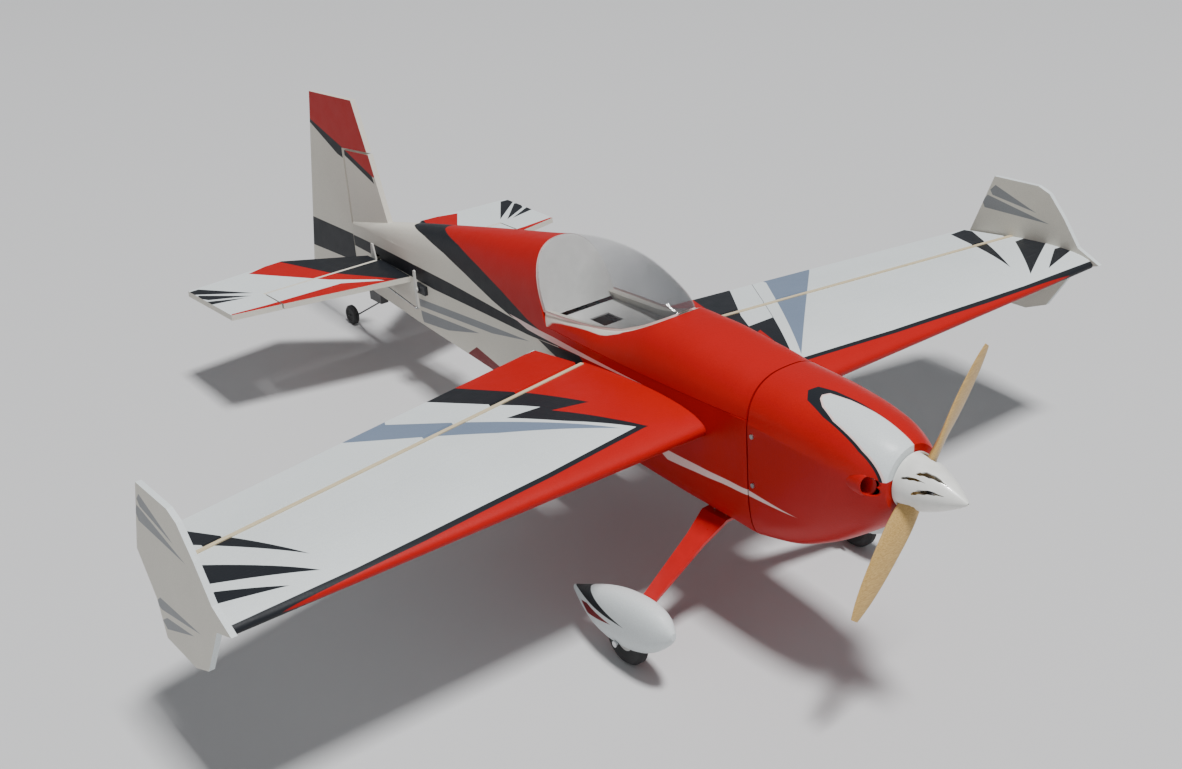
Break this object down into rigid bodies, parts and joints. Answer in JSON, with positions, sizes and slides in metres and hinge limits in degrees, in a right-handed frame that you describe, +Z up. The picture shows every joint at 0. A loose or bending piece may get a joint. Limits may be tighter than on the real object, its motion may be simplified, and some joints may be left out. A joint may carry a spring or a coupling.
{
  "type": "rc aerobatic plane",
  "caption": "Foam aerobatic radio control monoplane with end plates, hinged control surfaces, clear canopy hatch, spatted wheels and a wooden propeller.",
  "frame": {"origin": "on the ground under the middle of the model, which stands on its two main wheels and tail wheel", "axes": "+X to the port wing tip, +Y to the tail, +Z up; the nose points to -Y and sits about five degrees high"},
  "size_m": [1.206, 1.2693, 0.3847],
  "materials": {
    "red_foam": "satin printed foam",
    "cowl_red": "gloss",
    "white_foam": "satin printed foam",
    "cockpit_white": "matte",
    "canopy_clear": "clear gloss",
    "white_shell": "gloss",
    "plywood": "bare",
    "beech": "clear varnish",
    "steel": "bare",
    "aluminium": "machined",
    "motor_can": "black anodised",
    "servo_case": "matte",
    "fittings": "matte",
    "carbon": "satin",
    "battery_wrap": "satin shrink wrap",
    "leg_red": "painted composite",
    "hub_plastic": "satin",
    "tyre_black": "foam rubber"
  },
  "bodies": {
    "airframe": {"fuselage": "red_foam", "nose_former": "plywood", "cowl": "cowl_red", "cowl_screws": "steel", "motor_box": "plywood", "motor_stator": "aluminium", "battery": "battery_wrap", "speed_controller": "servo_case", "receiver": "servo_case", "wing_left": "white_foam", "wing_right": "white_foam", "aileron_servos": "servo_case", "hinge_strips": "fittings", "wing_tube": "carbon", "tip_plate_left": "white_foam", "tip_plate_right": "white_foam", "stabiliser": "white_foam", "fin": "red_foam", "elevator_servo": "servo_case", "rudder_servo": "servo_case", "axles": "steel", "gear_screws": "steel", "wheel_pant_left": "white_shell", "wheel_pant_right": "white_shell", "gear_leg_left": "leg_red", "gear_leg_right": "leg_red", "tail_bracket": "servo_case"},
    "propeller": {"propeller": "beech", "motor_bell": "motor_can", "prop_adapter": "aluminium", "spinner_backplate": "white_shell", "spinner_cone": "white_shell"},
    "hatch": {"hatch_deck": "red_foam", "canopy": "canopy_clear", "cockpit_floor": "cockpit_white", "cockpit_bulkhead": "cockpit_white"},
    "elevator": {"elevator_left": "white_foam", "elevator_right": "white_foam", "elevator_joiner": "carbon", "elevator_horn": "fittings"},
    "elevator_arm": {"elevator_servo_arm": "fittings"},
    "elevator_rod": {"elevator_pushrod": "steel"},
    "rudder": {"rudder": "red_foam", "rudder_horn": "fittings"},
    "rudder_arm": {"rudder_servo_arm": "fittings"},
    "rudder_rod": {"rudder_pushrod": "steel"},
    "tail_strut": {"tail_strut": "steel"},
    "tail_wheel": {"tail_wheel": "tyre_black"},
    "aileron_left": {"aileron_left": "white_foam", "aileron_horn_left": "fittings"},
    "aileron_arm_left": {"aileron_servo_arm_left": "fittings"},
    "aileron_rod_left": {"aileron_pushrod_left": "steel"},
    "wheel_left": {"wheel_hub_left": "hub_plastic", "tyre_left": "tyre_black"},
    "aileron_right": {"aileron_right": "white_foam", "aileron_horn_right": "fittings"},
    "aileron_arm_right": {"aileron_servo_arm_right": "fittings"},
    "aileron_rod_right": {"aileron_pushrod_right": "steel"},
    "wheel_right": {"wheel_hub_right": "hub_plastic", "tyre_right": "tyre_black"}
  },
  "joints": [
    {"name": "propeller_spin", "type": "hinge", "parent": "airframe", "child": "propeller", "pos_m": [0, -0.5778, 0.26756], "axis": [0, 0.9959, -0.0901], "continuous": true},
    {"name": "hatch_lift", "type": "slide", "parent": "airframe", "child": "hatch", "axis": [0, 0.0901, 0.9959], "range_m": [0, 0.15]},
    {"name": "aileron_left_hinge", "type": "hinge", "parent": "airframe", "child": "aileron_left", "pos_m": [0.25, -0.16008, 0.22075], "axis": [0.9893, -0.1455, 0.0132], "range_deg": [-25, 25]},
    {"name": "aileron_left_servo", "type": "hinge", "parent": "airframe", "child": "aileron_arm_left", "pos_m": [0.23948, -0.23174, 0.2192], "axis": [0.9893, -0.1455, 0.0132], "range_deg": [-25, 25]},
    {"name": "aileron_left_pushrod", "type": "hinge", "parent": "aileron_arm_left", "child": "aileron_rod_left", "pos_m": [0.23948, -0.23354, 0.19928], "axis": [0.9893, -0.1455, 0.0132], "range_deg": [-25, 25]},
    {"name": "aileron_right_hinge", "type": "hinge", "parent": "airframe", "child": "aileron_right", "pos_m": [-0.25, -0.16008, 0.22075], "axis": [0.9893, 0.1455, -0.0132], "range_deg": [-25, 25]},
    {"name": "aileron_right_servo", "type": "hinge", "parent": "airframe", "child": "aileron_arm_right", "pos_m": [-0.23948, -0.23174, 0.2192], "axis": [0.9893, 0.1455, -0.0132], "range_deg": [-25, 25]},
    {"name": "aileron_right_pushrod", "type": "hinge", "parent": "aileron_arm_right", "child": "aileron_rod_right", "pos_m": [-0.23948, -0.23354, 0.19928], "axis": [0.9893, 0.1455, -0.0132], "range_deg": [-25, 25]},
    {"name": "elevator_hinge", "type": "hinge", "parent": "airframe", "child": "elevator", "pos_m": [0, 0.40534, 0.15255], "axis": [1, 0, 0], "range_deg": [-25, 25]},
    {"name": "elevator_servo_turn", "type": "hinge", "parent": "airframe", "child": "elevator_arm", "pos_m": [-0.031, 0.28008, 0.16087], "axis": [1, 0, 0], "range_deg": [-25, 25]},
    {"name": "elevator_pushrod_pivot", "type": "hinge", "parent": "elevator_arm", "child": "elevator_rod", "pos_m": [-0.031, 0.27774, 0.13497], "axis": [1, 0, 0], "range_deg": [-25, 25]},
    {"name": "rudder_hinge", "type": "hinge", "parent": "airframe", "child": "rudder", "pos_m": [0, 0.49551, 0.16147], "axis": [0, 0.0901, 0.9959], "range_deg": [-30, 30]},
    {"name": "rudder_servo_turn", "type": "hinge", "parent": "airframe", "child": "rudder_arm", "pos_m": [0.014, 0.25094, 0.1384], "axis": [0, 0.0901, 0.9959], "range_deg": [-30, 30]},
    {"name": "rudder_pushrod_pivot", "type": "hinge", "parent": "rudder_arm", "child": "rudder_rod", "pos_m": [0.038, 0.25094, 0.1384], "axis": [0, 0.0901, 0.9959], "range_deg": [-30, 30]},
    {"name": "tail_steering", "type": "hinge", "parent": "airframe", "child": "tail_strut", "pos_m": [0, 0.44607, 0.07557], "axis": [0, 0.0901, 0.9959], "range_deg": [-30, 30]},
    {"name": "tail_wheel_spin", "type": "hinge", "parent": "tail_strut", "child": "tail_wheel", "pos_m": [0, 0.53297, 0.015], "axis": [1, 0, 0], "continuous": true},
    {"name": "wheel_left_spin", "type": "hinge", "parent": "airframe", "child": "wheel_left", "pos_m": [0.174, -0.35469, 0.03], "axis": [1, 0, 0], "continuous": true},
    {"name": "wheel_right_spin", "type": "hinge", "parent": "airframe", "child": "wheel_right", "pos_m": [-0.174, -0.35469, 0.03], "axis": [1, 0, 0], "continuous": true}
  ],
  "couplings": [
    {"joint": "aileron_left_servo", "follows": "aileron_left_hinge", "ratio": 1},
    {"joint": "aileron_left_pushrod", "follows": "aileron_left_hinge", "ratio": -1},
    {"joint": "aileron_right_servo", "follows": "aileron_right_hinge", "ratio": 1},
    {"joint": "aileron_right_pushrod", "follows": "aileron_right_hinge", "ratio": -1},
    {"joint": "elevator_servo_turn", "follows": "elevator_hinge", "ratio": 1},
    {"joint": "elevator_pushrod_pivot", "follows": "elevator_hinge", "ratio": -1},
    {"joint": "rudder_servo_turn", "follows": "rudder_hinge", "ratio": 1},
    {"joint": "rudder_pushrod_pivot", "follows": "rudder_hinge", "ratio": -1},
    {"joint": "tail_steering", "follows": "rudder_hinge", "ratio": 1}
  ]
}
